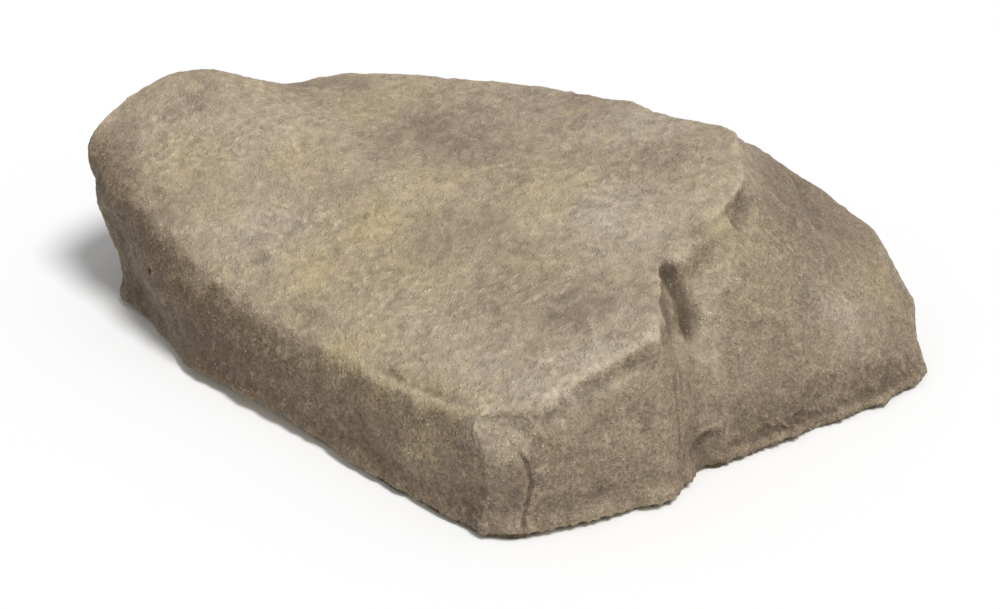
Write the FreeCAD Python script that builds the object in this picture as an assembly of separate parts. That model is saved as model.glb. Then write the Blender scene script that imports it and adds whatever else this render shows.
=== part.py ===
"""A hollow pond rock cast in sand-faced resin, with a low cave under it.

The rock stands on its open base. Its frame has the origin on the ground under the middle of the
rock, +X along the rock's length, -Y towards its front and +Z up. All sizes are in millimetres.

The rock is the union of two lumps: a broad slab that tilts up to the right and to the back, and a
lower block that leans against the slab's right-hand end. Each lump is a stack of closed rings, from
the ground up to its top, and the faces between the rings are flat triangles. The hollow is the same
two lumps, drawn in by the wall.

Inside, a flat rim is bonded round the foot of the wall. It carries rubber pads, which the rock
stands on, and rubber grommets that grip four ground spikes. The spikes are drawn up into the rock
for a hard floor or a pond liner, and are pushed out below the base to pin the rock to soil.
"""

import math
import os

import FreeCAD
import Part
from FreeCAD import Vector

# ---------------------------------------------------------------- driving dimensions
WALL = 7.0  # cast resin and its glass-fibre backing together
EDGE_Z = 1.5  # height of the shell's bottom edge above the ground

RIM_Z = 3.0
RIM_THICK = 5.0
RIM_WIDTH = 38.0
RIM_TOP = RIM_Z + RIM_THICK

PAD_RADIUS = 13.0
PAD_STEM_RADIUS = 4.0
PAD_BARB_RADIUS = 6.0
PAD_BARB_HEIGHT = 3.5
PADS = (
    (42, -231), (-100, -167), (-233, -36), (-306, 167), (-230, 221),
    (-92, 246), (122, 217), (256, 129), (343, 0), (235, -122),
)

SPIKE_RADIUS = 4.0
SPIKE_LENGTH = 90.0
SPIKE_TIP = 8.0
SPIKE_HEAD_RADIUS = 10.0
SPIKE_HEAD_THICK = 3.0
SPIKE_CLEARANCE = 0.05  # radial, between spike and grommet
SPIKE_TIP_Z = 1.0
# name, place, and the direction in degrees from the spike to the wall that its lug is bonded to
SPIKES = (
    ("front", (-5, -195), -95),
    ("left", (-322, 104), 200),
    ("rear", (-168, 226), 80),
    ("right", (262, 66), 45),
)
LUG_RADIUS = 22.0
LUG_REACH = 110.0

GROMMET_SEAT_RADIUS = 9.0
GROMMET_LIP_RADIUS = 12.5
GROMMET_LIP = 2.0
GROMMET_COLLAR = 9.0  # height above the upper lip, to hold the spike upright
GROMMET_COLLAR_RADIUS = 8.0

RIBS = (("left", -190, -35, 150), ("middle", -45, -130, 165), ("right", 95, -130, 75))
RIB_THICK = 12.0
RIB_DEPTH = 22.0

MOUTH_X = 20.0
MOUTH_HALF_WIDTH = 65.0
MOUTH_SPRING = 35.0  # height where the mouth's straight sides end and its arch begins
MOUTH_RISE = 45.0
SLEEVE_THICK = 3.0
SLEEVE_INNER_Y = 228.0

VENT_STATION = 10  # the vent is in the upper wall that begins at this station of the slab
VENT_SEAT_RADIUS = 15.0
VENT_BORE_RADIUS = 12.5
VENT_FLANGE_RADIUS = 20.0
VENT_FLANGE = 2.5
VENT_TAIL = 4.0  # length that the bush stands out of the wall's inner side
MESH_THICK = 1.5
MESH_HOLE_RADIUS = 1.4
MESH_PITCH = 4.6

# ---------------------------------------------------------------- the rock's form
# A station is one place round the lump, going clockwise as seen from above: its point on the ground
# edge, part way up its wall, on the shoulder where wall turns into roof, and part way over the roof.
SLAB = (
    # name            ground edge    wall                shoulder            roof
    ("front corner", (-13, -283), (-14, -279, 50), (-10, -266, 94), (-5, -170, 112)),
    ("front left 1", (-81, -224), (-80, -220, 45), (-66, -208, 92), (-48, -120, 114)),
    ("front left 2", (-157, -149), (-156, -146, 45), (-142, -133, 92), (-85, -60, 116)),
    ("front left 3", (-229, -76), (-231, -74, 45), (-214, -59, 94), (-120, -20, 120)),
    ("left foot", (-268, -42), (-277, -39, 60), (-264, -21, 104), (-160, 10, 122)),
    ("left end 1", (-308, 25), (-323, 25, 75), (-330, 45, 135), (-215, 50, 131)),
    ("left end 2", (-354, 85), (-378, 108, 80), (-385, 130, 143), (-275, 100, 151)),
    ("left rear", (-353, 150), (-375, 161, 90), (-370, 179, 163), (-300, 155, 178)),
    ("knob", (-315, 214), (-330, 218, 90), (-324, 220, 176), (-278, 200, 193)),
    ("saddle", (-235, 254), (-238, 252, 80), (-233, 229, 163), (-205, 175, 162)),
    ("rear 1", (-145, 279), (-150, 271, 90), (-155, 241, 173), (-115, 150, 161)),
    ("rear 2", (-30, 283), (-35, 275, 90), (-60, 225, 176), (-40, 110, 160)),
    ("rear 3", (80, 266), (75, 254, 90), (45, 178, 185), (30, 70, 163)),
    ("rear 4", (180, 227), (170, 207, 90), (122, 127, 192), (80, 30, 166)),
    ("crest end", (225, 150), (220, 130, 100), (203, 56, 194), (130, -10, 170)),
    ("slab nose", (235, 20), (228, 0, 100), (210, -22, 185), (120, -50, 160)),
    ("slab step", (200, -80), (192, -85, 90), (175, -72, 170), (90, -90, 149)),
    ("slab flank", (170, -150), (162, -140, 80), (147, -102, 157), (65, -130, 137)),
    ("flank lip", (156, -206), (148, -188, 60), (131, -140, 149), (52, -150, 130)),
    ("front right", (137, -238), (133, -229, 60), (124, -202, 135), (40, -170, 125)),
    ("front mid", (79, -259), (76, -254, 60), (68, -227, 118), (18, -180, 119)),
    ("corner column", (20, -283), (18, -278, 55), (18, -262, 101), (2, -176, 115)),
)
SLAB_MIDDLE = (-20, -10, 145)

# The block that leans against the slab's right-hand end.
BLOCK = (
    # name            ground edge    wall                shoulder
    ("block toe", (142, -190), (142, -170, 45), (142, -120, 112)),
    ("block heel", (120, 60), (120, 40, 70), (130, 0, 135)),
    ("block rear 3", (230, 192), (225, 172, 90), (216, 76, 180)),
    ("block rear 2", (320, 112), (315, 98, 70), (290, 86, 127)),
    ("block rear 1", (374, 12), (376, 17, 40), (342, 50, 98)),
    ("block right", (374, -58), (378, -43, 28), (350, 5, 90)),
    ("block front 3", (330, -97), (326, -76, 42), (300, -15, 110)),
    ("block front 2", (291, -122), (287, -100, 46), (258, -42, 128)),
    ("block front 1", (205, -173), (200, -148, 48), (192, -95, 133)),
    ("block front 0", (181, -190), (178, -168, 46), (168, -112, 121)),
)
BLOCK_MIDDLE = (220, 0, 168)


# ---------------------------------------------------------------- lumps
def ring_points(stations, middle):
    """The lump's points, ring by ring from the ground up, with the top point last."""
    points = [Vector(x, y, EDGE_Z) for _, (x, y), *_ in stations]
    for level in range(2, len(stations[0])):
        points += [Vector(*row[level]) for row in stations]
    return points + [Vector(*middle)]


def ring_triangles(stations):
    """Index triples into ring_points: a band between each two rings, then a fan up to the top."""
    count = len(stations)
    levels = len(stations[0]) - 1
    top = count * levels
    found = []
    for level in range(levels):
        for i in range(count):
            j = (i + 1) % count
            low_i, low_j = level * count + i, level * count + j
            if level == levels - 1:
                found.append((low_i, low_j, top))
            else:
                found.append((low_i, low_j, low_j + count))
                found.append((low_i, low_j + count, low_i + count))
    return found


def outward_normal(points, corners):
    """Stations run clockwise from above, so the cross product points inward and is turned round."""
    a, b, c = (points[i] for i in corners)
    return (c - a).cross(b - a).normalize()


def drawn_in(points, triangles, gap):
    """The points moved inward, so that each face moves in by at least gap. The ground ring drops."""
    beside = [[] for _ in points]
    for corners in triangles:
        normal = outward_normal(points, corners)
        for i in corners:
            beside[i].append(normal)
    moved = []
    for point, normals in zip(points, beside):
        on_ground = point.z == EDGE_Z
        if on_ground:
            normals = [Vector(n.x, n.y, 0).normalize() for n in normals]
        mean = Vector()
        for n in normals:
            mean += n
        mean.normalize()
        least = min(mean.dot(n) for n in normals)
        inner = point - mean * (gap / max(least, 0.6))
        moved.append(Vector(inner.x, inner.y, 0) if on_ground else inner)
    return moved


def lump(stations, points, triangles):
    """A closed solid of the triangles and a flat base."""
    faces = [Part.Face(Part.makePolygon([points[i] for i in t + t[:1]])) for t in triangles]
    base = points[: len(stations)]
    faces.append(Part.Face(Part.makePolygon(base + base[:1])))
    solid = Part.makeSolid(Part.makeShell(faces))
    if solid.Volume < 0:
        solid.reverse()
    return solid


def rock_form(gap):
    """Both lumps as one solid, drawn in by gap."""
    lumps = []
    for stations, middle in ((SLAB, SLAB_MIDDLE), (BLOCK, BLOCK_MIDDLE)):
        points = ring_points(stations, middle)
        triangles = ring_triangles(stations)
        if gap:
            points = drawn_in(points, triangles, gap)
        lumps.append(lump(stations, points, triangles))
    return lumps[0].fuse(lumps[1])


# ---------------------------------------------------------------- small helpers
UP = Vector(0, 0, 1)


def disc(radius, low, high, x=0.0, y=0.0):
    return Part.makeCylinder(radius, high - low, Vector(x, y, low))


def layer(low, high):
    """All the space between two heights."""
    side = 2000.0
    return Part.makeBox(side, side, high - low, Vector(-side / 2, -side / 2, low))


# ---------------------------------------------------------------- the rear mouth
def mouth_tool(margin):
    """The mouth's outline, grown by margin, run through the rear wall along Y."""
    half = MOUTH_HALF_WIDTH + margin
    crown = MOUTH_SPRING + MOUTH_RISE + margin
    y = 120.0
    left, right = Vector(MOUTH_X - half, y, MOUTH_SPRING), Vector(MOUTH_X + half, y, MOUTH_SPRING)
    left_foot, right_foot = Vector(left.x, y, -1), Vector(right.x, y, -1)
    edges = [
        Part.LineSegment(right_foot, right).toShape(),
        Part.Arc(right, Vector(MOUTH_X, y, crown), left).toShape(),
        Part.LineSegment(left, left_foot).toShape(),
        Part.LineSegment(left_foot, right_foot).toShape(),
    ]
    return Part.Face(Part.Wire(edges)).extrude(Vector(0, 250, 0))


def mouth_sleeve(outer):
    """Rubber edging that lines the mouth, flush with the rock outside."""
    ring = mouth_tool(SLEEVE_THICK).cut(mouth_tool(0)).common(outer)
    return ring.common(Part.makeBox(400, 200, 200, Vector(MOUTH_X - 200, SLEEVE_INNER_Y, EDGE_Z)))


# ---------------------------------------------------------------- the vent
def vent_place(points, triangles):
    """Centre and outward direction of the upper rear wall's face that takes the vent."""
    count = len(SLAB)
    corners = triangles[2 * (count + VENT_STATION)]
    centre = (points[corners[0]] + points[corners[1]] + points[corners[2]]) / 3
    return centre, outward_normal(points, corners)


def along(centre, axis, radius, start, end):
    """A cylinder on the vent's axis, from start to end as measured outward from the wall's face."""
    return Part.makeCylinder(radius, end - start, centre + axis * start, axis)


def vent_bush(centre, axis):
    tail = -(WALL + VENT_TAIL)
    body = along(centre, axis, VENT_SEAT_RADIUS, tail, 0)
    body = body.fuse(along(centre, axis, VENT_FLANGE_RADIUS, 0, VENT_FLANGE))
    body = body.cut(along(centre, axis, VENT_BORE_RADIUS, tail, 0))
    return body.cut(along(centre, axis, VENT_BORE_RADIUS - 1.5, 0, VENT_FLANGE))


def vent_mesh(centre, axis):
    """A perforated disc that rests behind the bush's inner step."""
    plate = along(centre, axis, VENT_BORE_RADIUS, -MESH_THICK, 0)
    side = axis.cross(UP).normalize()
    rise = side.cross(axis).normalize()
    holes = []
    for row in range(-2, 3):
        for column in range(-2, 3):
            across = (column + 0.5 * (row % 2)) * MESH_PITCH
            up = row * MESH_PITCH * math.sin(math.radians(60))
            if math.hypot(across, up) < VENT_BORE_RADIUS - MESH_PITCH / 2:
                holes.append(along(centre + side * across + rise * up, axis, MESH_HOLE_RADIUS, -MESH_THICK, 0))
    return plate.cut(holes)


# ---------------------------------------------------------------- rim, pads and spikes
def lug(place, degrees):
    """A tab that carries one spike, from its round end to the wall."""
    x, y = place
    tab = Part.makeBox(LUG_REACH, 2 * LUG_RADIUS, RIM_THICK, Vector(0, -LUG_RADIUS, 0))
    tab.rotate(Vector(), UP, degrees)
    tab.translate(Vector(x, y, RIM_Z))
    return tab.fuse(disc(LUG_RADIUS, RIM_Z, RIM_TOP, x, y))


def base_rim(core):
    """The flat ring bonded inside the foot of the wall, open at the mouth."""
    plate = core.common(layer(RIM_Z, RIM_TOP))
    middle = core.slice(UP, RIM_Z + RIM_THICK / 2)[0]
    inner = Part.Face(middle).makeOffset2D(-RIM_WIDTH, join=2)
    window = inner.extrude(Vector(0, 0, 4 * RIM_THICK))
    window.translate(Vector(0, 0, -2 * RIM_THICK))
    ring = plate.cut(window)
    lugs = [lug(place, degrees).common(core) for _, place, degrees in SPIKES]
    ring = ring.fuse(lugs).removeSplitter()
    ring = ring.cut(mouth_tool(SLEEVE_THICK))
    holes = [disc(PAD_STEM_RADIUS, RIM_Z, RIM_TOP, x, y) for x, y in PADS]
    holes += [disc(GROMMET_SEAT_RADIUS, RIM_Z, RIM_TOP, x, y) for _, (x, y), _ in SPIKES]
    return ring.cut(holes)


def foot_pad(x, y):
    """A rubber button: its foot under the rim, its stem through it and a barb over it."""
    foot = disc(PAD_RADIUS, 0, RIM_Z, x, y)
    foot = foot.makeFillet(1.0, [e for e in foot.Edges if e.BoundBox.ZMax < 0.01])
    stem = disc(PAD_STEM_RADIUS, RIM_Z, RIM_TOP, x, y)
    barb = Part.makeCone(PAD_BARB_RADIUS, PAD_STEM_RADIUS * 0.7, PAD_BARB_HEIGHT, Vector(x, y, RIM_TOP))
    return foot.fuse([stem, barb])


def grommet(x, y):
    """A rubber ring with a lip on each side of the rim and a collar round the spike."""
    low, high = RIM_Z - GROMMET_LIP, RIM_TOP + GROMMET_LIP
    rings = [
        disc(GROMMET_LIP_RADIUS, low, RIM_Z, x, y),
        disc(GROMMET_LIP_RADIUS, RIM_TOP, high, x, y),
        disc(GROMMET_COLLAR_RADIUS, high, high + GROMMET_COLLAR, x, y),
    ]
    body = disc(GROMMET_SEAT_RADIUS, RIM_Z, RIM_TOP, x, y).fuse(rings)
    return body.cut(disc(SPIKE_RADIUS + SPIKE_CLEARANCE, low, high + GROMMET_COLLAR, x, y))


def ground_spike(x, y):
    tip = Part.makeCone(0.8, SPIKE_RADIUS, SPIKE_TIP, Vector(x, y, SPIKE_TIP_Z))
    head_z = SPIKE_TIP_Z + SPIKE_LENGTH - SPIKE_HEAD_THICK
    shank = disc(SPIKE_RADIUS, SPIKE_TIP_Z + SPIKE_TIP, head_z, x, y)
    head = disc(SPIKE_HEAD_RADIUS, head_z, head_z + SPIKE_HEAD_THICK, x, y)
    head = head.makeFillet(1.0, [e for e in head.Edges if e.Curve.TypeId == "Part::GeomCircle"])
    return tip.fuse([shank, head])


# ---------------------------------------------------------------- roof ribs
def roof_rib(core, x, front, rear):
    """A stiffener of even depth, bonded to the underside of the roof from front to rear."""
    plate = Part.makeBox(RIB_THICK, rear - front, 400, Vector(x - RIB_THICK / 2, front, 0))
    lowered = core.translated(Vector(0, 0, -RIB_DEPTH))
    return plate.common(core).cut(lowered)


def save(shape, name):
    if not shape.isValid():
        raise ValueError(f"{name} isn't a valid solid")
    shape.exportStep(f"parts/{name}.step")
    print(f"{name:22} solids {len(shape.Solids)}  volume {shape.Volume / 1000:9.1f} cm3")


def main():
    os.makedirs("parts", exist_ok=True)
    outer = rock_form(0)
    core = rock_form(WALL)
    points = ring_points(SLAB, SLAB_MIDDLE)
    vent = vent_place(points, ring_triangles(SLAB))
    vent_seat = along(*vent, VENT_SEAT_RADIUS, -4 * WALL, 4 * WALL)
    shell = outer.cut([core, mouth_tool(SLEEVE_THICK), vent_seat])
    save(shell, "rock_shell")
    save(base_rim(core), "base_rim")
    save(mouth_sleeve(outer), "mouth_sleeve")
    save(vent_bush(*vent), "vent_bush")
    save(vent_mesh(*vent), "vent_mesh")
    for which, x, front, rear in RIBS:
        save(roof_rib(core, x, front, rear), f"roof_rib_{which}")
    for number, (x, y) in enumerate(PADS, 1):
        save(foot_pad(x, y), f"foot_pad_{number}")
    for which, (x, y), _ in SPIKES:
        save(grommet(x, y), f"spike_grommet_{which}")
        save(ground_spike(x, y), f"ground_spike_{which}")


if __name__ == "__main__":
    main()
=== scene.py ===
"""The looks of a hollow pond rock: its weathered sand-faced shell, and materials for all its parts.

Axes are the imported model's: +X along the rock, -Y to its front, +Z up. Places on the rock are
written in millimetres and turned into metres when they are used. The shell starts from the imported
model's plain shell, which is remeshed, softened, made finer and then carved.
"""

import math

import bpy
import numpy as np
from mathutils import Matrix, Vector
from mathutils.bvhtree import BVHTree
from mathutils.kdtree import KDTree


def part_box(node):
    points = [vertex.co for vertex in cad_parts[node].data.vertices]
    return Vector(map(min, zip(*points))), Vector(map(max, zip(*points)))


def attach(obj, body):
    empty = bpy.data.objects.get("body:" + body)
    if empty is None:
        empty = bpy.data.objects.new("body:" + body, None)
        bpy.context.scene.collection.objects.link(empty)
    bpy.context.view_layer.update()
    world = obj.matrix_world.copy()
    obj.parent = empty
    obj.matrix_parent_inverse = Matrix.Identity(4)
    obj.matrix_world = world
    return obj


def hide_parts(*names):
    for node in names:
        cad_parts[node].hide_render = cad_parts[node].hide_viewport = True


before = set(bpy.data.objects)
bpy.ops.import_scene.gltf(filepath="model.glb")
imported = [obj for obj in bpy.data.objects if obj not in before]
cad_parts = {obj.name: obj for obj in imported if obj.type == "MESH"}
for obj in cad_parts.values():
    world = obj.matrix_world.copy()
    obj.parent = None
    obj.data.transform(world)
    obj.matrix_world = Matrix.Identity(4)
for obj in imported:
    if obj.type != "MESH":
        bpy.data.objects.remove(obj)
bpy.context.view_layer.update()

MM = 0.001
VOXEL = 3.6 * MM  # the even mesh's faces, which are halved on the outer side later
INNER_SHARE = 0.15  # how many of the inner side's faces are kept
THINNEST = 3.0 * MM  # of the wall, where a hollow is carved into it

NOISE_DIRECTIONS = 512  # slopes that Perlin noise picks from
NOISE_PRIMES = (73856093, 19349663, 83492791)
NOISE_SEED_STEP = 37.2  # cells between one seed's noise and the next's
NOISE_GAIN = 1.6

SKY_TILTS = (0.05, 0.5, 1.1)  # of the rays that look for the sky, in radians above the ground
SKY_TURNS = 16
FIRST_TURN = 0.1
GRAZING = 0.15  # rays with a smaller cosine to a face's normal are left out
SEES_SKY = 0.15  # the share of a face's rays that have to get away

BITE, LET_OUT, FOOT_DROP = 4.0, 4.6, 1.2  # the foot's changes, in millimetres
LAMINATE_Z = 3 * MM  # inner faces lower than this are the cast edge, and look like the rock


# ---------------------------------------------------------------- numbers and noise
def smoothstep(low, high, value):
    """0 at low and before it, 1 at high and past it, and a soft S between. Low may be the larger."""
    t = np.clip((value - low) / (high - low), 0.0, 1.0)
    return t * t * (3.0 - 2.0 * t)


def gradient_noise(points, size, seed):
    """Perlin noise, about -1 to 1, with cells of the given size in metres."""
    place = points / size + NOISE_SEED_STEP * seed
    cell = np.floor(place).astype(np.int64)
    part = place - cell
    fade = part**3 * (part * (part * 6.0 - 15.0) + 10.0)
    directions = np.random.default_rng(seed).normal(size=(NOISE_DIRECTIONS, 3))
    directions /= np.linalg.norm(directions, axis=1)[:, None]
    total = np.zeros(len(points))
    for corner in np.ndindex(2, 2, 2):
        x, y, z = ((cell + corner) * NOISE_PRIMES).T
        slope = directions[(x ^ y ^ z) % NOISE_DIRECTIONS]
        weight = np.prod(np.where(corner, fade, 1.0 - fade), axis=1)
        total += weight * np.einsum("ij,ij->i", slope, part - corner)
    return total * NOISE_GAIN


def fractal_noise(points, size, octaves, seed, gain=0.5):
    """Several sizes of Perlin noise added up, each half as large as the last and weaker by gain."""
    total = np.zeros(len(points))
    for octave in range(octaves):
        total += gain**octave * gradient_noise(points, size / 2**octave, seed + octave)
    return total


def off_path(points, path):
    """Each point's distance in metres from a path, and how far along the path it is, 0 to 1."""
    path = np.array(path) * MM
    best = np.full(len(points), 1e9)
    along = np.zeros(len(points))
    lengths = np.linalg.norm(np.diff(path, axis=0), axis=1)
    ends = np.concatenate([[0], np.cumsum(lengths)]) / max(lengths.sum(), 1e-9)
    for k, (a, b) in enumerate(zip(path[:-1], path[1:])):
        t = np.clip((points - a) @ (b - a) / max((b - a) @ (b - a), 1e-12), 0, 1)
        distance = np.linalg.norm(points - (a + t[:, None] * (b - a)), axis=1)
        nearer = distance < best
        best[nearer] = distance[nearer]
        along[nearer] = (ends[k] + t * (ends[k + 1] - ends[k]))[nearer]
    return best, along


def beside(points, path, width):
    """1 on a path of places, falling softly to 0 about a width of millimetres away."""
    return np.exp(-((off_path(points, path)[0] / (width * MM)) ** 2))


def beside_any(points, lines):
    """The strongest of several soft lines, each given as (path, width, strength)."""
    return np.maximum.reduce([strength * beside(points, path, width) for path, width, strength in lines])


def level_path(path, height):
    """The path with all its places at one height."""
    return [(x, y, height) for x, y, _ in path]


# ---------------------------------------------------------------- meshes as arrays
def read(collection, name, width, kind=float):
    """One property of everything in a mesh's collection, as rows of the given width."""
    flat = np.empty(len(collection) * width, dtype=kind)
    collection.foreach_get(name, flat)
    return flat.reshape(-1, width)


def triangles_of(mesh):
    mesh.calc_loop_triangles()
    return read(mesh.loop_triangles, "vertices", 3, np.int64)


def points_of(mesh):
    return read(mesh.vertices, "co", 3)


def normals_at(mesh, points):
    """Puts the mesh's vertices at these points, and gives their normals there."""
    mesh.vertices.foreach_set("co", points.ravel())
    mesh.update()
    return read(mesh.vertex_normals, "vector", 3)


def write_attribute(mesh, name, values):
    layer = mesh.attributes.get(name) or mesh.attributes.new(name, "FLOAT", "POINT")
    layer.data.foreach_set("value", np.asarray(values, dtype=np.float32))


def evaluated_copy(mesh, modifiers, group=None):
    """The mesh with modifiers applied, each (kind, {setting: value}). group lists vertices."""
    helper = bpy.data.objects.new("helper", mesh)
    bpy.context.collection.objects.link(helper)
    if group is not None:
        helper.vertex_groups.new(name="group").add(group.tolist(), 1.0, "REPLACE")
    for kind, settings in modifiers:
        modifier = helper.modifiers.new(kind, kind)
        for setting, value in settings.items():
            setattr(modifier, setting, value)
    evaluated = helper.evaluated_get(bpy.context.evaluated_depsgraph_get())
    made = bpy.data.meshes.new_from_object(evaluated)
    bpy.data.objects.remove(helper)
    return made


def mean_of_neighbours(values, edges):
    a, b = edges.T
    count = len(values)
    total = np.stack([np.bincount(a, values[b, k], count) + np.bincount(b, values[a, k], count)
                      for k in range(values.shape[1])], axis=1)
    degree = np.bincount(a, minlength=count) + np.bincount(b, minlength=count)
    return np.where(degree[:, None] > 0, total / np.maximum(degree, 1)[:, None], values)


def softened(points, edges, weight, rounds, keep_size=0.0):
    """The points after rounds of smoothing by weight. keep_size near 1 undoes the shrinking."""
    for _ in range(rounds):
        points = points + weight * (mean_of_neighbours(points, edges) - points)
        if keep_size:
            points = points - weight * keep_size * (mean_of_neighbours(points, edges) - points)
    return points


# ---------------------------------------------------------------- places on the rock, in millimetres
MOUTH_X, MOUTH_HALF, MOUTH_SPRING = 20.0, 68.0, 35.0  # its middle, half width and straight sides' top
MOUTH_CENTRE_Z, MOUTH_RADIUS = 10.6, 72.4  # of the arch over it
BEHIND_Y = 190  # the mouth's wall is behind this
MOUTH_CLEAR = (1, 30)  # off the mouth's edging: nothing moves up to the first, and all past the second
VENT_CLEAR = (21, 45)  # the same, off the vent's middle
FISSURE_PLACE, FISSURE_NORMAL = (140, -215), (0.945, -0.324)  # seen from above

FRONT_EDGE = [(-25, -250, 90), (20, -260, 98), (68, -228, 117), (123, -200, 134)]
FRONT_EDGE_CRACKS = [(2, -254, 98), (19, -256, 100), (38, -250, 102)]
UNDER_FRONT_EDGE = [(x, y - 5, z - 13) for x, y, z in FRONT_EDGE[1:]]
LIP = [
    (123, -200, 134), (131, -140, 149), (147, -102, 157), (175, -72, 169), (210, -22, 184), (206, 30, 190),
]
LIP_SIDE = [(139, -118, 149), (141, -135, 136), (143, -150, 114), (144, -162, 100)]
LIP_CREASE = [
    (215, 0, 172), (211, -13, 171), (202, -32, 168), (190, -50, 163), (180, -63, 160), (167, -71, 158),
    (150, -78, 156),
]
NOTCH = [(213, -20, 163), (206, -36, 158), (196, -55, 152)]
BELOW_NOTCH = [(168, -76, 158), (182, -76, 152), (194, -64, 152)]
CORNER_POST = [(-25, -250, 90), (-14, -276, 60), (-14, -280, 0)]
SHOULDER = [
    (-350, 85, 138), (-330, 55, 134), (-300, 15, 118), (-273, -13, 106), (-225, -55, 92), (-185, -95, 88),
]
FRONT_SHOULDER = [(-185, -95, 88), (-120, -165, 86), (-75, -208, 88), (-50, -230, 90)]
LEFT_END = [(-368, 170, 128), (-366, 115, 134)]
# painted shade over the left end
LEFT_END_SHADE = [(-378, 120, 132), (-352, 72, 120)]
LEFT_PINCH = [(-372, 80, 112), (-384, 125, 117), (-376, 170, 120)]
KNOB = [(-235, 200, 182), (-300, 185, 172)]
VALLEY = [(160, -84, 158), (188, -58, 152), (208, -25, 160), (214, 30, 172)]
CREST = [(-150, 214, 168), (-68, 205, 174), (28, 170, 179), (110, 118, 187), (200, 62, 186), (235, 62, 163)]
POCKET = [
    (138, -112, 141), (143, -116, 132), (146, -120, 124), (149, -125, 116), (151, -129, 108),
    (151, -135, 100),
]
POCKET_DENTS = (((140, -116, 141), 11), ((144, -119, 129), 14), ((148, -127, 114), 13), ((150, -134, 102), 9))
CRACK = [(15, -270, 72), (21, -274, 62), (24, -276, 50), (22, -278, 33), (18, -283, 17), (19, -284, 3)]
CREASE = [
    (-141, -139, 81), (-114, -169, 82), (-88, -194, 83), (-65, -216, 86), (-43, -234, 88), (-25, -247, 91),
]
GROOVE = [
    (-110, -160, 84), (-93, -176, 87), (-76, -195, 89), (-59, -208, 90), (-43, -221, 92), (-22, -240, 96),
]
SEAM = [(146, -185, 88), (148, -190, 66), (150, -192, 44)]
FISSURE = [(139, -193, 93), (141, -199, 80), (143, -203, 66), (144, -207, 50), (143, -213, 34)]
UPPER_FISSURE = [(141, -180, 112), (146, -172, 101), (152, -165, 88)]
BLOCK_FRONT_RIDGE = [(178, -88, 142), (190, -92, 131), (218, -112, 90)]
BLOCK_TOP_RIDGE = [(215, 25, 172), (238, 0, 158), (262, -6, 139), (292, -14, 117)]
BLOCK_HOLLOW = [(268, 84, 138), (277, 50, 136), (283, 12, 131), (278, -16, 128)]
FLAKE = [(154, -193, 26), (158, -185, 30), (165, -180, 32), (175, -177, 34), (187, -174, 35)]
UNDER_FLAKE = [(161, -187, 22), (168, -184, 26), (178, -180, 28)]
BELOW_FLAKE = [(164, -186, 10), (178, -182, 12)]
BLOCK_FOOT = [(181, -187, 9), (204, -170, 9), (244, -146, 9), (291, -120, 9), (330, -95, 9), (366, -62, 9)]

# soft lines: (path, width, strength)
CRISP = [(FRONT_EDGE, 13, 1.0), (LIP[:3], 13, 0.7), (CORNER_POST, 13, 0.6)]
ROUNDED = [  # held at 1 where it comes to more
    (SHOULDER, 60, 1.4), (LEFT_END, 48, 0.3), (KNOB, 40, 0.3), (FRONT_SHOULDER, 32, 0.3),
    (VALLEY, 30, 0.12), (SEAM, 25, 0.45),
]
# painted shade, with some dirt: darker along the crack, the groove and the lip's crease, and under the flake
SHADE_AND_DIRT_LINES = [(CRACK, 1.8, 0.45), (GROOVE[1:], 4, 0.5), (LIP_CREASE, 4, 0.25), (UNDER_FLAKE, 4, 0.5)]
# painted shade, with some dirt: darker in the fissure, the notch, under the lip, below the flake and along
# the block's foot
RAGGED_SHADE_AND_DIRT_LINES = [
    (FISSURE, 3.5, 0.65), (UPPER_FISSURE, 5, 0.4), (NOTCH, 9, 0.4), (BELOW_NOTCH, 15, 0.40),
    (BELOW_FLAKE, 9, 0.35), (level_path(BLOCK_FOOT, 16), 5, 0.45),
]

# the outline's changes: (path, width, way), where way is millimetres along each axis
OUTLINE = [
    # the knob and the left end fuller
    (KNOB, 50, (-1, 3, 9)),
    ([(-378, 150, 128), (-366, 100, 132)], 48, (-16, -1, 3)),
    ([(-340, 60, 100), (-273, -13, 70), (-200, -85, 50)], 70, (-5, -4, 1)),
    ([(-357, 75, 70), (-345, 55, 40)], 30, (9, 4, 0)),
    # the right end slimmer, and the crest a little higher or lower from place to place
    ([(368, -35, 50), (352, -8, 88)], 32, (-10, 3, 0)),
    ([(207, 50, 183)], 24, (3, 1, 4)),
    ([(179, 108, 180), (160, 115, 182)], 28, (0, 0, -3)),
    ([(248, 62, 160), (258, 55, 156)], 24, (1, 0, 3)),
    ([(318, 20, 118), (282, 40, 142)], 28, (-1, 0, -2.2)),
    (CREST, 30, (0, 1.5, 2.2)),
    # the knob's top and its right shoulder, and the tip of the left end
    ([(-300, 195, 182)], 36, (0, 2, 7)),
    ([(-264, 190, 184), (-240, 188, 181)], 30, (0, 0, 6)),
    ([(-374, 122, 150)], 32, (-8, 0, 2)),
    # the foot of the left wall, from the left end to the front corner
    ([(-352, 71, 5)], 26, (-5, -3, 0)),
    ([(-170, -136, 5), (-185, -120, 5)], 26, (-2, -2, 0)),
    ([(-27, -267, 5)], 18, (2.5, 3, 0)),
    ([(-330, 28, 5), (-290, -20, 5), (-230, -80, 5), (-200, -110, 5)], 24, (-2.2, -2.6, 0)),
    # the block comes up flush with the slab behind the pocket
    ([(170, -78, 146), (186, -64, 148)], 17, (-1, -1, 7)),
    # the foot of the front wall
    ([(-40, -275, 5), (30, -272, 5), (110, -240, 5), (158, -205, 5)], 16, (1, -3, 0)),
]

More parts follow.
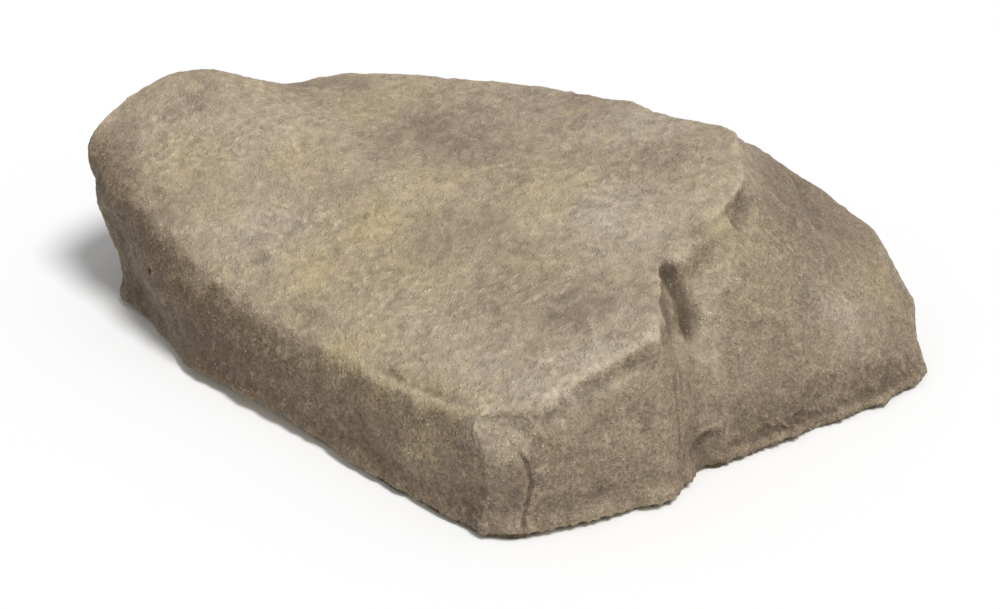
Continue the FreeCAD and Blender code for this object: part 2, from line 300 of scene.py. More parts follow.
# tints on the face: (x, y, z, radius, strength)
SAND_PATCHES = [
    (-62, 44, 154, 30, 0.8), (-101, -2, 133, 36, 0.9), (-130, -30, 118, 26, 0.7), (41, 11, 158, 30, 0.8),
    (-128, 166, 166, 26, 0.6), (-77, 187, 168, 24, 0.6), (-289, 91, 147, 32, 0.6), (-186, 76, 154, 30, 0.6),
    (-246, 33, 128, 18, 0.6), (-72, -63, 118, 34, 0.6), (25, -93, 137, 24, 0.4), (-159, -53, 106, 36, 0.8),
    (-127, -144, 91, 30, 0.8), (-100, -184, 82, 30, 0.8), (-59, -223, 87, 26, 0.7), (200, -58, 150, 24, 1.0),
    (315, -26, 91, 26, 0.5), (346, -20, 71, 18, 0.7), (218, -92, 111, 18, 0.4), (-59, -237, 46, 34, 0.7),
]
# the patches at (-195, 214, 167) and (-160, 216, 168) are also painted shade behind the knob
UMBER_PATCHES = [
    (-60, 126, 163, 50, 0.9), (-22, 98, 162, 46, 0.9), (-96, 108, 158, 36, 0.6), (-278, 161, 179, 22, 0.7),
    (-195, 214, 167, 24, 0.9), (-160, 216, 168, 24, 0.8), (-105, 89, 158, 24, 0.6), (-132, 39, 144, 22, 0.5),
    (-65, -38, 127, 20, 0.6), (20, -124, 130, 28, 0.6), (52, -165, 129, 28, 0.9), (80, -149, 136, 26, 0.85),
    (205, -30, 165, 14, 0.6), (128, -158, 142, 24, 0.8), (2, -272, 42, 30, 0.7), (-4, -276, 20, 26, 0.6),
    (196, -168, 32, 32, 0.5), (240, -142, 30, 34, 0.5), (28, 162, 178, 26, 0.7), (70, 141, 179, 26, 0.8),
    (100, 124, 182, 24, 0.7), (-7, -30, 142, 20, 0.5), (141, 27, 177, 34, 0.5), (-349, 121, 148, 26, 0.6),
    (-297, 45, 129, 26, 0.5), (262, -5, 139, 40, 0.5), (288, -23, 114, 34, 0.3), (164, -182, 23, 24, 0.5),
    (240, 60, 160, 50, 0.7), (275, 30, 135, 50, 0.6),
]
ASH_PATCHES = [
    (-204, 15, 122, 38, 0.7), (31, -233, 109, 30, 0.8), (78, -208, 125, 30, 0.8), (105, -176, 138, 26, 0.35),
    (126, -61, 159, 40, 0.6), (-8, -258, 83, 28, 0.5), (14, -262, 84, 24, 0.5), (302, -62, 77, 46, 0.6),
    (42, 158, 177, 34, 0.6), (127, 94, 183, 44, 0.7), (92, -40, 158, 44, 0.9), (-308, 137, 166, 34, 0.4),
    (-230, 108, 164, 40, 0.2), (-8, -197, 109, 30, 0.6),
]


def free_to_move(points):
    """0 beside the mouth's edging and the vent's flange, which stay put, and 1 well away from them."""
    x, y, z = points.T / MM
    across = np.abs(x - MOUTH_X)
    arch = np.hypot(across, z - MOUTH_CENTRE_Z) - MOUTH_RADIUS
    off_mouth = np.where(z > MOUTH_SPRING, arch, across - MOUTH_HALF)
    free_of_mouth = np.where(y > BEHIND_Y, smoothstep(*MOUTH_CLEAR, off_mouth), 1.0)
    low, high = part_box("vent_bush")
    off_vent = np.linalg.norm(points - np.array((low + high) / 2), axis=1) / MM
    return free_of_mouth * smoothstep(*VENT_CLEAR, off_vent)


# ---------------------------------------------------------------- the shell, from plain to fine
def outer_faces(points, triangles):
    """A search tree of the plain shell, and which of its triangles see the sky: the outer side's do."""
    tree = BVHTree.FromPolygons(points.tolist(), triangles.tolist())
    rays = [
        Vector((math.cos(turn) * math.cos(tilt), math.sin(turn) * math.cos(tilt), math.sin(tilt)))
        for tilt in SKY_TILTS
        for turn in np.linspace(FIRST_TURN, FIRST_TURN + 2 * math.pi, SKY_TURNS, endpoint=False)
    ]
    found = []
    for triangle in triangles:
        a, b, c = (Vector(points[i]) for i in triangle)
        normal = (b - a).cross(c - a).normalized()
        start = (a + b + c) / 3 + normal * 0.1 * MM
        facing = [ray for ray in rays if ray.dot(normal) > GRAZING]
        clear = sum(tree.ray_cast(start, ray)[0] is None for ray in facing)
        found.append(clear > SEES_SKY * len(facing))
    return tree, np.array(found)


def outer_edges_of(mesh, outer):
    edges = read(mesh.edges, "vertices", 2, np.int64)
    return edges[outer[edges].all(axis=1)]


def softened_shell(node):
    """An even mesh of a node's solid with its outer side softened like a worn stone."""
    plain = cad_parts[node].data
    tree, sees_sky = outer_faces(points_of(plain), triangles_of(plain))
    mesh = evaluated_copy(plain.copy(), [
        ("WELD", {"merge_threshold": 0.01 * MM}),
        ("REMESH", {"mode": "VOXEL", "voxel_size": VOXEL}),
    ])
    points = points_of(mesh)
    outer = np.array([sees_sky[tree.find_nearest(p)[2]] for p in points.tolist()])
    edges = outer_edges_of(mesh, outer)
    free = free_to_move(points) * outer
    crisp = beside_any(points, CRISP)
    foot = smoothstep(1 * MM, 12 * MM, points[:, 2])
    sideways = np.ones(len(points))
    weight = np.stack([sideways, sideways, foot], axis=1) * (0.6 * free * (1 - 0.75 * crisp))[:, None]
    moved = softened(points, edges, weight, rounds=50, keep_size=0.93)
    rounded = np.minimum(beside_any(points, ROUNDED), 1)
    moved = softened(moved, edges, (0.95 * free * rounded * foot)[:, None], rounds=380)
    roof = free * smoothstep(0.70, 0.86, normals_at(mesh, moved)[:, 2]) * (1 - np.clip(2 * crisp, 0, 1))
    moved = softened(moved, edges, 0.95 * roof[:, None], rounds=200)
    return mesh, moved, outer


def made_fine(mesh, points, outer):
    """The mesh at these points with faces half as large outside and far fewer of them inside."""
    normals_at(mesh, points)
    write_attribute(mesh, "outer", outer)
    kept = outer.mean() + (1 - outer.mean()) * INNER_SHARE
    fine = evaluated_copy(mesh, [
        ("DECIMATE", {"ratio": kept, "vertex_group": "group"}),
        ("SUBSURF", {"levels": 1, "render_levels": 1}),
    ], group=np.flatnonzero(~outer))
    values = read(fine.attributes["outer"].data, "value", 1)[:, 0]
    fine.attributes.remove(fine.attributes["outer"])
    return fine, values > 0.6  # a new vertex between the two sides has a value between 0 and 1


class Carving:
    """The outer side while it is worked: each stroke moves points along the surface's normals."""

    def __init__(self, mesh, points, outer):
        self.mesh, self.points = mesh, points
        self.free = free_to_move(points) * outer
        self.refresh()

    def refresh(self):
        self.normals = normals_at(self.mesh, self.points)

    def push(self, height_mm):
        """Moves each point out along its normal."""
        self.points = self.points + self.normals * (height_mm * MM * self.free)[:, None]

    def stroke(self, path, width, height, ragged=0.0, seed=0, taper=0.15, sharp=False):
        """A ridge along a path, or a groove where height is negative."""
        off, along = off_path(self.points, path)
        if ragged:
            off = np.abs(off + ragged * MM * gradient_noise(self.points, 12 * MM, seed))
        t = off / (width * MM)
        profile = np.clip(1 - t, 0, 1) if sharp else np.exp(-t * t * 1.5)
        ends = smoothstep(0, taper, along) * smoothstep(0, taper, 1 - along) if taper else 1.0
        self.push(height * profile * ends)

    def dent(self, centre, radius, height):
        """A round bump or pit."""
        off = np.linalg.norm(self.points - np.array(centre) * MM, axis=1) / (radius * MM)
        self.push(height * np.exp(-off * off * 1.5))

    def move(self, path, width, way):
        """Shifts what lies along a path by a number of millimetres along each axis."""
        share = beside(self.points, path if len(path) > 1 else path * 2, width) * self.free
        self.points = self.points + share[:, None] * np.array(way) * MM

    def shave(self, centre, normal, radius):
        """Cuts a flat face: what stands out past its plane is brought back to the plane."""
        centre = np.array(centre) * MM
        normal = np.array(normal) / np.linalg.norm(normal)
        proud = np.maximum((self.points - centre) @ normal, 0)
        off = np.linalg.norm(self.points - centre, axis=1)
        share = 1 - smoothstep(0.75 * radius * MM, radius * MM, off)
        self.points = self.points - normal * (proud * share * self.free)[:, None]


def carve(carving):
    """Every mark on the rock's face, from the broadest to the finest."""
    points = carving.points
    z = points[:, 2] / MM
    up = np.clip(carving.normals[:, 2], 0, 1)
    # broad swells of the roof and walls
    carving.push(3.2 * fractal_noise(points, 120 * MM, octaves=2, seed=11) * up)
    walls = (1 - up) * smoothstep(0, 30, z)
    carving.push(3.0 * fractal_noise(points, 70 * MM, octaves=2, seed=23) * walls)
    for path, width, way in OUTLINE:
        carving.move(path, width, way)
    carving.refresh()
    # the rolled crease over the left wall, and the groove above it
    carving.stroke(CREASE, width=12, height=3.0, taper=0.3)
    carving.stroke(GROOVE, width=14, height=-1.6, taper=0.3)
    carving.stroke(GROOVE, width=4, height=-4.0, ragged=1, seed=3, taper=0.3)
    carving.stroke(FRONT_EDGE_CRACKS, width=5, height=-2.0, ragged=2, seed=4)
    # the front edge overhangs the wall a little, and has a flat chip off its corner
    carving.stroke(UNDER_FRONT_EDGE, width=9, height=-2.4, ragged=4, seed=17)
    carving.shave(centre=(3, -259, 86), normal=(-0.13, -0.80, 0.59), radius=48)
    # the lip's crease, and the pocket and the fissure between slab and block
    carving.move(LIP_SIDE, width=12, way=(-7, 3, 0))
    carving.stroke(LIP, width=9, height=-1.8, taper=0.1)
    carving.refresh()
    carving.stroke(LIP_CREASE, width=7, height=-2.4, ragged=1.5, seed=15, taper=0.12)
    carving.stroke(NOTCH, width=10, height=-4.0, ragged=2, seed=16, taper=0.2)
    carving.refresh()
    for centre, radius in POCKET_DENTS:
        carving.dent(centre, radius, height=-4.5)
    carving.refresh()
    carving.stroke(FISSURE, width=3.2, height=-2.6, ragged=1.2, seed=5, taper=0.15)
    carving.stroke(UPPER_FISSURE, width=4, height=-2.2, ragged=1.2, seed=6, taper=0.3)
    carving.dent((143, -217, 32), radius=4, height=-4)
    # the block's ridges and hollows
    carving.stroke(BLOCK_FRONT_RIDGE, width=14, height=2.6)
    carving.stroke(BLOCK_TOP_RIDGE, width=16, height=2.6)
    carving.stroke(BLOCK_HOLLOW, width=13, height=-4.5, ragged=3, seed=7)
    # the flake and the hollow under it, and the crumbled foot of the block
    carving.stroke(FLAKE, width=3.0, height=2.8, ragged=1, seed=8)
    carving.stroke(UNDER_FLAKE, width=3, height=-1.6, ragged=1, seed=8)
    carving.dent((172, -187, 14), radius=14, height=-2)
    carving.refresh()
    carving.stroke(BLOCK_FOOT, width=6, height=3.2, ragged=4, seed=9, taper=0.05)
    carving.stroke(level_path(BLOCK_FOOT, 17), width=4.5, height=-4.2, ragged=5, seed=10, taper=0.1)
    # the left end: a pit, and the pinch half way up
    carving.dent((-317, 16, 73), radius=5, height=-4)
    carving.stroke(LEFT_PINCH, width=12, height=-4.5)
    carving.refresh()
    roughen(carving)
    carving.stroke(CRACK, width=2.3, height=-2.6, ragged=2.5, seed=12, taper=0.05, sharp=True)
    carving.refresh()


def roughen(carving):
    """Lumps, wrinkles and grit, strongest on the broken edges and the block's foot."""
    points = carving.points
    up = smoothstep(0.3, 0.9, carving.normals[:, 2])
    broken = np.maximum(beside(points, FRONT_EDGE + LIP[1:3], 9), beside(points, CORNER_POST, 6))
    rough = 1 + 0.9 * broken + 1.3 * beside(points, BLOCK_FOOT, 18)
    carving.push(1.4 * fractal_noise(points, 38 * MM, octaves=2, seed=41) * (1.25 - 0.6 * up) * rough)
    carving.refresh()
    carving.push(0.8 * fractal_noise(points, 15 * MM, octaves=2, seed=47) * (1.1 - 0.4 * up) * rough)
    carving.refresh()
    # short broken wrinkles in the roof's face, a little longer along the rock than across it
    line = np.abs(fractal_noise(points * [0.7, 1.0, 1.0], 30 * MM, octaves=3, seed=91, gain=0.7))
    here = smoothstep(0.0, 0.4, gradient_noise(points, 60 * MM, seed=94))
    here *= smoothstep(-0.05, 0.30, gradient_noise(points, 15 * MM, seed=95)) * up
    carving.push(-0.8 * np.clip(1 - line / 0.10, 0, 1) * here)
    # grit: small grains standing on the face, in drifts
    drift = 0.35 + 0.65 * smoothstep(-0.4, 0.5, gradient_noise(points, 60 * MM, seed=71))
    for size, height, seed in ((11, 0.7, 53), (6.5, 0.8, 59)):
        grain = gradient_noise(points, size * MM, seed)
        bumps = smoothstep(0.15, 0.7, grain) - 0.4 * smoothstep(0.2, 0.8, -grain)
        carving.push(height * bumps * drift * rough)


def finished_foot(mesh, points, outer):
    """The cast edge made even, let out and brought down to just off the ground, with small bites in it."""
    free = free_to_move(points)
    height = points[:, 2]
    edges = read(mesh.edges, "vertices", 2, np.int64)
    edges = edges[outer[edges].any(axis=1)]
    lengths = np.linalg.norm(points[edges[:, 0]] - points[edges[:, 1]], axis=1)
    edges = edges[lengths < 1.2 * VOXEL]  # leaves out the long ones of the inner side
    level = (1 - smoothstep(5 * MM, 13 * MM, height)) * free
    points = softened(points, edges, 0.8 * level[:, None], rounds=24)
    height = points[:, 2]
    outer_reach = 1 - smoothstep(4 * MM, 26 * MM, height)
    reach = np.where(outer, outer_reach, 1 - smoothstep(1.6 * MM, 3.5 * MM, height))
    bites = np.clip(fractal_noise(points * [1, 1, 0], 34 * MM, octaves=3, seed=61), -0.6, 0.9)
    inward = -points * [1, 1, 0]
    inward /= np.linalg.norm(inward, axis=1)[:, None]
    points = points + inward * ((BITE * bites - LET_OUT) * MM * reach * free)[:, None]
    points[:, 2] = height - FOOT_DROP * MM * (1 - smoothstep(1.6 * MM, 9 * MM, height))
    return points


def follow_outside(mesh, start, points, outer):
    """The inner side moved with the outer side, and kept at least the thinnest wall behind it."""
    lookup = KDTree(int(outer.sum()))
    for i in np.flatnonzero(outer):
        lookup.insert(start[i], int(i))
    lookup.balance()
    inside = np.flatnonzero(~outer)
    follow = np.array([lookup.find(start[i])[1] for i in inside])
    moved = points - start
    high = smoothstep(9 * MM, 22 * MM, start[inside, 2])[:, None]
    points = points.copy()
    points[inside] += moved[follow] * high
    faces = [tuple(f.vertices) for f in mesh.polygons if all(outer[v] for v in f.vertices)]
    tree = BVHTree.FromPolygons(points.tolist(), faces)
    for i, share in zip(inside, high[:, 0]):
        place, normal, _, _ = tree.find_nearest(points[i])
        behind = -(Vector(points[i]) - place).dot(normal)
        if behind < THINNEST and share > 0:
            points[i] -= np.array(normal) * (THINNEST - behind) * share
    return points


def relief(points, edges, normals, rounds, scale_mm):
    """How far each point stands out of its softened surroundings, about -1 to 1."""
    out = np.einsum("ij,ij->i", points - softened(points, edges, 0.9, rounds), normals)
    return np.clip(out / (scale_mm * MM), -1, 1)


def wandering(points, size, seed):
    """Noise of three parts, to draw points about with."""
    return np.stack([fractal_noise(points, size, 2, seed + k, 0.6) for k in range(3)], axis=1)


def patches(drawn, places):
    """Soft round patches, each (x, y, z, radius, strength), at points drawn about by noise."""
    total = np.zeros(len(drawn))
    for x, y, z, radius, strength in places:
        off = np.linalg.norm(drawn - np.array((x, y, z)) * MM, axis=1) / (radius * MM)
        total = np.maximum(total, strength * np.exp(-(off**2)))
    return total


def write_looks(mesh, points, outer):
    """The attributes that the rock's material reads."""
    normals = normals_at(mesh, points)
    edges = outer_edges_of(mesh, outer)
    write_attribute(mesh, "fine_relief", relief(points, edges, normals, rounds=4, scale_mm=0.5))
    write_attribute(mesh, "broad_relief", relief(points, edges, normals, rounds=40, scale_mm=3.0))
    # the walls' brown stain, partly painted shade
    write_attribute(mesh, "wall", wall_stain_and_shade(points, edges, normals))
    ragged = points + 3 * MM * wandering(points, 9 * MM, seed=73)
    # painted shade, with some dirt, darkest in the pocket and along the cracks and hollows
    write_attribute(mesh, "shade_and_dirt", np.maximum.reduce([
        np.clip(1.5 * beside(ragged, POCKET, 12) - 0.25, 0, 0.95),
        beside_any(points, SHADE_AND_DIRT_LINES),
        beside_any(ragged, RAGGED_SHADE_AND_DIRT_LINES),
    ]))
    drawn = points + 15 * MM * wandering(points, 40 * MM, seed=83)
    for name, places in (("sand", SAND_PATCHES), ("umber", UMBER_PATCHES), ("ash", ASH_PATCHES)):
        write_attribute(mesh, name, patches(drawn, places))


def wall_stain_and_shade(points, edges, normals):
    """How brown each point's stain is, partly painted shade: most on the left wall, less on the other walls
    and the block.
    """
    facing = softened(normals, edges, 0.9, rounds=14)
    facing /= np.maximum(np.linalg.norm(facing, axis=1), 1e-9)[:, None]
    x, y, z = points.T / MM
    left = smoothstep(0.25, -0.45, facing[:, 0]) * (1 - smoothstep(0.40, 0.93, facing[:, 2]))
    left *= 1 - 0.22 * smoothstep(-280, -60, x)
    steep = 1 - smoothstep(0.30, 0.84, facing[:, 2])
    (place_x, place_y), (normal_x, normal_y) = FISSURE_PLACE, FISSURE_NORMAL
    block = smoothstep(-12, 22, normal_x * (x - place_x) + normal_y * (y - place_y))
    low = block * (1 - smoothstep(12, 62, z))
    # part stain, part painted shade: the left wall darkest, steep faces darker than the roof
    stain_and_shade = np.maximum.reduce([left, 0.62 * steep, 0.50 * block])
    stain_and_shade = np.minimum(stain_and_shade + 0.22 * low, 1)
    # painted shade over the left end
    return np.maximum(stain_and_shade, 0.8 * beside(points, LEFT_END_SHADE, 28))


def make_shell():
    """The cast shell, worked from plain to weathered. It stands for the CAD shell."""
    coarse, smooth, coarse_outer = softened_shell("rock_shell")
    mesh, outer = made_fine(coarse, smooth, coarse_outer)
    start = points_of(mesh)
    carving = Carving(mesh, start, outer)
    carve(carving)
    points = finished_foot(mesh, carving.points, outer)
    points = follow_outside(mesh, start, points, outer)
    write_looks(mesh, points, outer)
    mesh.polygons.foreach_set("use_smooth", np.ones(len(mesh.polygons), dtype=bool))
    inner_faces = [sum(not outer[v] for v in face.vertices) >= 2 for face in mesh.polygons]
    high = read(mesh.polygons, "center", 3)[:, 2] > LAMINATE_Z
    mesh.materials.clear()
    mesh.materials.append(rock_material())
    mesh.materials.append(laminate_material())
    mesh.polygons.foreach_set("material_index", (np.array(inner_faces) & high).astype(np.int32))
    mesh.update()
    shell = bpy.data.objects.new("weathered_shell", mesh)
    bpy.context.collection.objects.link(shell)
    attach(shell, "rock")
    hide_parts("rock_shell")


# ---------------------------------------------------------------- materials
class Material:
    """A node material being built. Its place is the object's own coordinates."""

    def __init__(self, name, **constant):
        self.material = bpy.data.materials.new(name)
        self.material.use_nodes = True
        self.nodes = self.material.node_tree.nodes
        self.links = self.material.node_tree.links
        self.shader = self.nodes["Principled BSDF"]
        for socket, value in constant.items():
            self.shader.inputs[socket.replace("_", " ")].default_value = value
        self.place = self.add("ShaderNodeTexCoord").outputs["Object"]

    def add(self, kind, links=(), **settings):
        """A node with its own settings and its sockets' values, and links into its sockets."""
        node = self.nodes.new(kind)
        for name, value in settings.items():
            if hasattr(node, name):
                setattr(node, name, value)
            else:
                node.inputs[name.replace("_", " ")].default_value = value
        for socket, source in dict(links).items():
            self.links.new(source, node.inputs[socket])
        return node

    def noise(self, size_mm, detail=2.0, roughness=0.5, seed=0.0, output="Fac"):
        node = self.add("ShaderNodeTexNoise", {"Vector": self.place}, noise_dimensions="4D",
                        Scale=1 / (size_mm * MM), Detail=detail, Roughness=roughness, W=seed)
        return node.outputs[output]

    def ragged_place(self, size_mm, by_mm):
        """The place moved about by noise, which makes what is drawn with it irregular."""
        moved = self.add("ShaderNodeVectorMath", operation="MULTIPLY_ADD")
        self.links.new(self.noise(size_mm, 2, 0.6, 5, "Color"), moved.inputs[0])
        moved.inputs[1].default_value = (by_mm * MM,) * 3
        self.links.new(self.place, moved.inputs[2])
        return moved.outputs["Vector"]

    def cells(self, size_mm, place):
        """Random cells: the distance from each one's middle, and a random colour for each."""
        node = self.add("ShaderNodeTexVoronoi", {"Vector": place}, Scale=1 / (size_mm * MM))
        return node.outputs["Distance"], node.outputs["Color"]

    def attribute(self, name):
        return self.add("ShaderNodeAttribute", attribute_name=name).outputs["Fac"]

    def spread(self, source, low, high, to_low=0.0, to_high=1.0):
        """The source's range from low to high, stretched to another range and held inside it."""
        node = self.add("ShaderNodeMapRange", {"Value": source}, interpolation_type="SMOOTHSTEP",
                        From_Min=low, From_Max=high, To_Min=to_low, To_Max=to_high)
        return node.outputs["Result"]

    def math(self, operation, a, b):
        node = self.add("ShaderNodeMath", operation=operation)
        for socket, value in zip(node.inputs, (a, b)):
            if isinstance(value, (int, float)):
                socket.default_value = value
            else:
                self.links.new(value, socket)
        return node.outputs["Value"]

    def product(self, first, *others):
        for other in others:
            first = self.math("MULTIPLY", first, other)
        return first

    def mix(self, share, a, b, blend="MIX"):
        """From a to b by the share. Colours are sockets or three numbers."""
        node = self.add("ShaderNodeMix", data_type="RGBA", blend_type=blend)
        for socket, value in ((node.inputs[0], share), (node.inputs[6], a), (node.inputs[7], b)):
            if isinstance(value, float):
                socket.default_value = value
            elif isinstance(value, tuple):
                socket.default_value = (*value, 1)
            else:
                self.links.new(value, socket)
        return node.outputs[2]

    def shaded(self, colour, source, low, high, dark, light):
        """The colour multiplied by a grey from dark to light as the source goes from low to high."""
        grey = self.spread(source, low, high, dark, light)
        node = self.add("ShaderNodeVectorMath", operation="SCALE")
        self.links.new(colour, node.inputs[0])
        self.links.new(grey, node.inputs["Scale"])
        return node.outputs["Vector"]

    def bump(self, height, distance_mm, strength=1.0):
        node = self.add("ShaderNodeBump", {"Height": height}, Distance=distance_mm * MM, Strength=strength)
        return node.outputs["Normal"]

    def set(self, **sockets):
        """Links the sources to the shader's sockets, and gives the finished material."""
        for socket, source in sockets.items():
            self.links.new(source, self.shader.inputs[socket.replace("_", " ")])
        return self.material


# colours of the rock's face
BASE_DARK, BASE_LIGHT = (0.458, 0.362, 0.250), (0.511, 0.412, 0.290)
TINTS = [  # attribute, colour, and how strong it is where the drift is low and where it is high
    ("ash", (0.565, 0.480, 0.376), 0.6, 0.9),
    ("sand", (0.580, 0.458, 0.252), 0.5, 0.9),
    ("umber", (0.275, 0.203, 0.148), 0.6, 0.95),
]
MOTTLE_DARK, MOTTLE_LIGHT = (0.275, 0.205, 0.150), (0.590, 0.480, 0.300)
# the walls' brown stain, partly painted shade
WALL_STAIN_AND_SHADE = (0.268, 0.209, 0.140)
# the colour of the painted shade, with some dirt, in the hollows
SHADE_AND_DIRT = (0.120, 0.080, 0.044)
# pale grains with a painted glint
PALE_GRAIN_AND_GLINT = (0.80, 0.73, 0.60)
# painted shade between the grains
GAP_SHADE = (0.075, 0.055, 0.038)  # between grains
# painted shade in small pits
PIT_SHADE = (0.10, 0.075, 0.055)


def tinted_face(m, wall):
    """The cast's own colour, with its tinted patches and, mostly on the roof, its mottle."""
    drift = m.noise(42, 4, 0.6)
    colour = m.mix(m.spread(m.noise(80, 3), 0.38, 0.62), BASE_DARK, BASE_LIGHT)
    for name, tint, low, high in TINTS:
        share = m.product(m.attribute(name), m.spread(drift, 0.35, 0.6, low, high))
        colour = m.mix(share, colour, tint)
    mottle = m.noise(22, 5, 0.65, 3)
    bare = m.spread(wall, 0.2, 0.9, 1.0, 0.25)
    colour = m.mix(m.product(m.spread(mottle, 0.53, 0.68, 0, 0.60), bare), colour, MOTTLE_DARK)
    return m.mix(m.product(m.spread(mottle, 0.47, 0.32, 0, 0.55), bare), colour, MOTTLE_LIGHT)


def stained_and_shaded_walls(m, colour, wall, broad):
    """The walls' browner stain, partly painted shade, worn away on what stands out, and painted shade, with
    some dirt, in the hollows.
    """
    stain_and_shade = m.product(
        wall,
        m.spread(broad, -0.8, 1.0, 1.0, 0.75),
        m.spread(m.attribute("sand"), 0.1, 0.8, 1.0, 0.6),
        m.spread(m.attribute("ash"), 0.2, 0.9, 1.0, 0.2),
    )
    # the walls' brown stain, partly painted shade
    colour = m.mix(stain_and_shade, colour, WALL_STAIN_AND_SHADE, "MULTIPLY")
    # painted shade, with some dirt, in the pocket, the cracks and the hollows
    return m.mix(m.attribute("shade_and_dirt"), colour, SHADE_AND_DIRT)


def sanded(m, colour, wall):
    """The sand: its colour, and how far its grains and its speckle stand out.

    Each grain has its own shape, shade and height, a few are pale with a painted glint, fewer on the walls,
    and the walls show dark gaps of painted shade.
    """
    off, chance = m.cells(2.9, m.ragged_place(3.2, 3.0))
    grain = m.product(m.spread(off, 0.62, 0.12), m.spread(chance, 0.40, 0.85))
    colour = m.shaded(colour, grain, 0.0, 0.9, 0.98, 1.09)
    # painted glints: pale highlights on a few grains, fewer on the walls
    glint = m.product(
        m.spread(off, 0.42, 0.20),
        m.spread(chance, 0.63, 0.70),
        m.spread(m.noise(34, 2), 0.40, 0.62, 0.45, 1.0),
        m.spread(wall, 0.1, 0.8, 0.50, 0.24),
    )
    colour = m.mix(glint, colour, PALE_GRAIN_AND_GLINT)
    speckle = m.noise(2.9, 3, 0.72)
    on_roof = m.shaded(colour, speckle, 0.35, 0.65, 0.90, 1.09)
    on_wall = m.shaded(colour, speckle, 0.37, 0.63, 0.70, 1.34)
    # painted shade in the gaps between grains, strongest on the walls
    gap_shade = m.product(m.spread(m.noise(2.4, 2, 0.7, 8), 0.50, 0.36), m.spread(wall, 0.2, 0.9, 0.05, 0.60))
    return m.mix(gap_shade, m.mix(wall, on_roof, on_wall), GAP_SHADE), grain, speckle


def rock_material():
    """Sand-faced resin, taupe on the roof and browner on the walls, partly with painted shade."""
    m = Material("sand_faced_resin")
    fine, broad, wall = (m.attribute(name) for name in ("fine_relief", "broad_relief", "wall"))
    colour = stained_and_shaded_walls(m, tinted_face(m, wall), wall, broad)
    colour, grain, speckle = sanded(m, colour, wall)
    clouds = m.noise(11, 4, 0.65)
    on_roof = m.shaded(colour, clouds, 0.35, 0.65, 0.86, 1.11)
    on_wall = m.shaded(colour, clouds, 0.35, 0.65, 0.97, 1.03)
    colour = m.mix(wall, on_roof, on_wall)
    # painted light and shade: lighter where the face stands out and darker in its hollows
    colour = m.shaded(colour, fine, -0.9, 0.9, 0.78, 1.12)
    colour = m.shaded(colour, broad, -1.0, 1.0, 0.80, 1.0)
    # painted shade in small pits, which the bump also sinks
    pits = m.spread(m.noise(5.2, 3, 0.6, 11), 0.34, 0.27)
    colour = m.mix(m.product(pits, 0.20), colour, PIT_SHADE)
    height = m.math("ADD", m.product(grain, 0.75), m.product(speckle, 0.9))
    height = m.math("SUBTRACT", height, m.product(pits, 0.5))
    rough = m.spread(m.noise(6, 3), 0.3, 0.7, 0.50, 0.76)
    return m.set(Base_Color=colour, Roughness=rough, Normal=m.bump(height, 1.3))


def laminate_material():
    """The raw back of the cast: amber resin over strands of chopped glass."""
    m = Material("raw_laminate")
    waves = m.add("ShaderNodeTexWave", {"Vector": m.place}, Scale=90, Distortion=14, Detail=3,
                  Detail_Scale=2.5)
    strands = waves.outputs["Fac"]
    colour = m.mix(m.spread(m.noise(60, 4), 0.35, 0.65), (0.33, 0.25, 0.12), (0.42, 0.35, 0.20))
    colour = m.mix(m.spread(strands, 0.55, 0.95, 0, 0.5), colour, (0.62, 0.56, 0.40))
    rough = m.spread(m.noise(14, 3), 0.35, 0.65, 0.28, 0.62)
    height = m.math("ADD", strands, m.noise(8, 3))
    return m.set(Base_Color=colour, Roughness=rough, Normal=m.bump(height, 0.9, strength=0.7))


def rubber_material():
    """Black rubber with a faint grey bloom and moulding grain."""
    m = Material("black_rubber", Specular_IOR_Level=0.4)
    bloom = m.noise(9, 5, 0.7)
    colour = m.mix(m.spread(bloom, 0.38, 0.68), (0.020, 0.020, 0.021), (0.052, 0.050, 0.047))
    dust = m.spread(m.noise(2.2, 3, 0.6, 2), 0.62, 0.74, 0.0, 0.35)
    colour = m.mix(dust, colour, (0.16, 0.14, 0.115))
    rough = m.spread(bloom, 0.35, 0.7, 0.58, 0.86)
    return m.set(Base_Color=colour, Roughness=rough, Normal=m.bump(m.noise(0.7, 3), 0.10))


def plastic_material():
    """Black moulded plastic with a fine spark-eroded grain, rubbed smoother in places."""
    m = Material("black_plastic")
    wear = m.noise(16, 4, 0.6)
    colour = m.mix(m.spread(wear, 0.4, 0.7), (0.016, 0.016, 0.017), (0.034, 0.034, 0.035))
    rough = m.spread(wear, 0.35, 0.7, 0.50, 0.32)
    return m.set(Base_Color=colour, Roughness=rough, Normal=m.bump(m.noise(0.5, 2), 0.05))


def zinc_material():
    """Zinc-plated steel: a blue-grey sheen in soft patches, drawn lines along the rod and dull spots."""
    m = Material("zinc_plated_steel", Metallic=1.0)
    cloud = m.noise(14, 4, 0.6)
    colour = m.mix(m.spread(cloud, 0.35, 0.65), (0.50, 0.52, 0.55), (0.68, 0.69, 0.68))
    spots = m.spread(m.noise(2.6, 4, 0.7, 4), 0.60, 0.72)
    colour = m.mix(m.product(spots, 0.5), colour, (0.40, 0.39, 0.37))
    drawn = m.add("ShaderNodeMapping", {"Vector": m.place})
    drawn.inputs["Scale"].default_value = (1, 1, 0.04)  # long along the rod
    lines = m.add("ShaderNodeTexNoise", {"Vector": drawn.outputs["Vector"]}, Scale=1 / (0.35 * MM), Detail=3)
    rough = m.math("ADD", m.spread(cloud, 0.3, 0.7, 0.24, 0.36), m.product(spots, 0.25))
    return m.set(Base_Color=colour, Roughness=rough, Normal=m.bump(lines.outputs["Fac"], 0.04))


SIDES = ("front", "left", "rear", "right")
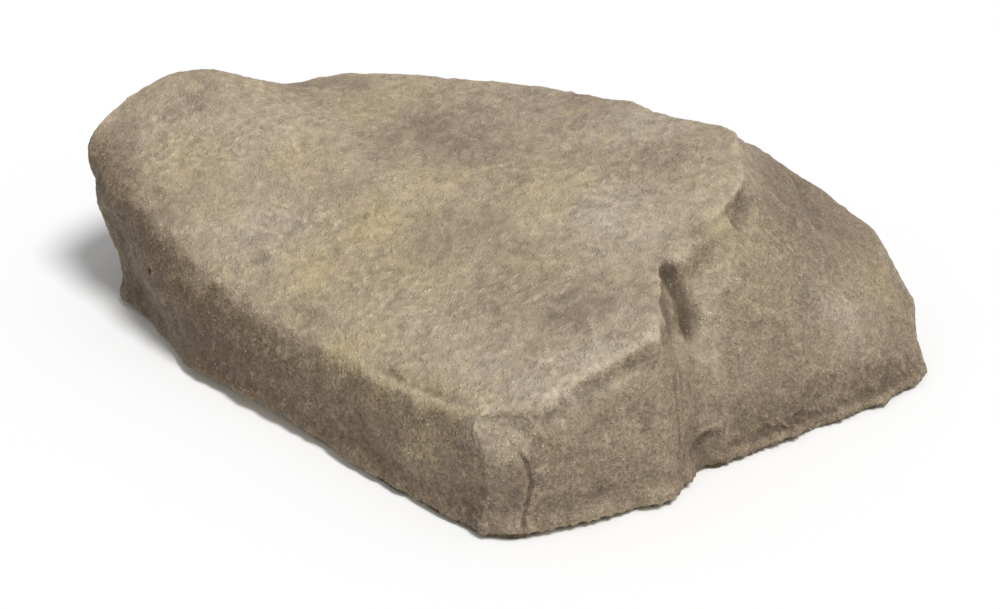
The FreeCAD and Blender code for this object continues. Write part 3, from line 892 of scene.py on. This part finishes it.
# material, how far the edges are rounded in millimetres, and the parts
FINISHES = [
    (laminate_material, 0.8, ["base_rim", "roof_rib_left", "roof_rib_middle", "roof_rib_right"]),
    (rubber_material, 0.5, [
        "mouth_sleeve", *(f"foot_pad_{k}" for k in range(1, 11)),
        *(f"spike_grommet_{side}" for side in SIDES),
    ]),
    (plastic_material, 0.4, ["vent_bush", "vent_mesh"]),
    (zinc_material, 0.25, [f"ground_spike_{side}" for side in SIDES]),
]
WELD_DISTANCE = 0.002 * MM
ROUNDED_FROM = math.radians(40)  # flatter edges than this stay as they are


def finish_cad_parts():
    """Gives every CAD part that shows its material and small rounded edges."""
    for make, edge_mm, names in FINISHES:
        material = make()
        for name in names:
            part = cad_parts[name]
            for slot in part.material_slots:
                slot.link = "OBJECT"
                slot.material = material
            part.modifiers.new("weld", "WELD").merge_threshold = WELD_DISTANCE
            bevel = part.modifiers.new("edges", "BEVEL")
            bevel.width = edge_mm * MM
            bevel.segments = 2
            bevel.limit_method = "ANGLE"
            bevel.angle_limit = ROUNDED_FROM
            bevel.harden_normals = True


# ---------------------------------------------------------------- stage
LENS, SENSOR = 65, 36  # millimetres
CAMERA_PLACE = (0, -1.40956, 0.860)
CAMERA_TILT = math.radians(60)  # from looking straight down
FLOOR_HALF = 30.0
FLOOR_GREY = 0.93
SKY_STRENGTH = 0.40
SUN_STRENGTH = 2.45
SUN_WIDTH = math.radians(20)
SUN_FROM = (0.35, -0.30, 0.89)


def make_camera():
    data = bpy.data.cameras.new("camera")
    data.lens = LENS
    data.sensor_width = SENSOR
    camera = bpy.data.objects.new("camera", data)
    camera.location = CAMERA_PLACE
    camera.rotation_euler = (CAMERA_TILT, 0, 0)
    bpy.context.collection.objects.link(camera)
    bpy.context.scene.camera = camera


def make_floor():
    mesh = bpy.data.meshes.new("floor")
    corners = [(FLOOR_HALF * x, FLOOR_HALF * y, 0) for x, y in ((-1, -1), (1, -1), (1, 1), (-1, 1))]
    mesh.from_pydata(corners, [], [(0, 1, 2, 3)])
    material = bpy.data.materials.new("floor")
    material.use_nodes = True
    shader = material.node_tree.nodes["Principled BSDF"]
    shader.inputs["Base Color"].default_value = (FLOOR_GREY, FLOOR_GREY, FLOOR_GREY, 1)
    shader.inputs["Roughness"].default_value = 0.9
    mesh.materials.append(material)
    floor = bpy.data.objects.new("floor", mesh)
    bpy.context.collection.objects.link(floor)


def make_lights():
    world = bpy.data.worlds.new("world")
    world.use_nodes = True
    sky = world.node_tree.nodes["Background"]
    sky.inputs["Color"].default_value = (1, 1, 1, 1)
    sky.inputs["Strength"].default_value = SKY_STRENGTH
    bpy.context.scene.world = world
    data = bpy.data.lights.new("key", "SUN")
    data.energy = SUN_STRENGTH
    data.angle = SUN_WIDTH
    light = bpy.data.objects.new("key", data)
    light.location = SUN_FROM
    light.rotation_euler = light.location.to_track_quat("Z", "Y").to_euler()
    bpy.context.collection.objects.link(light)


bpy.context.scene.view_settings.view_transform = "Standard"
make_camera()
make_shell()
finish_cad_parts()
make_floor()
make_lights()
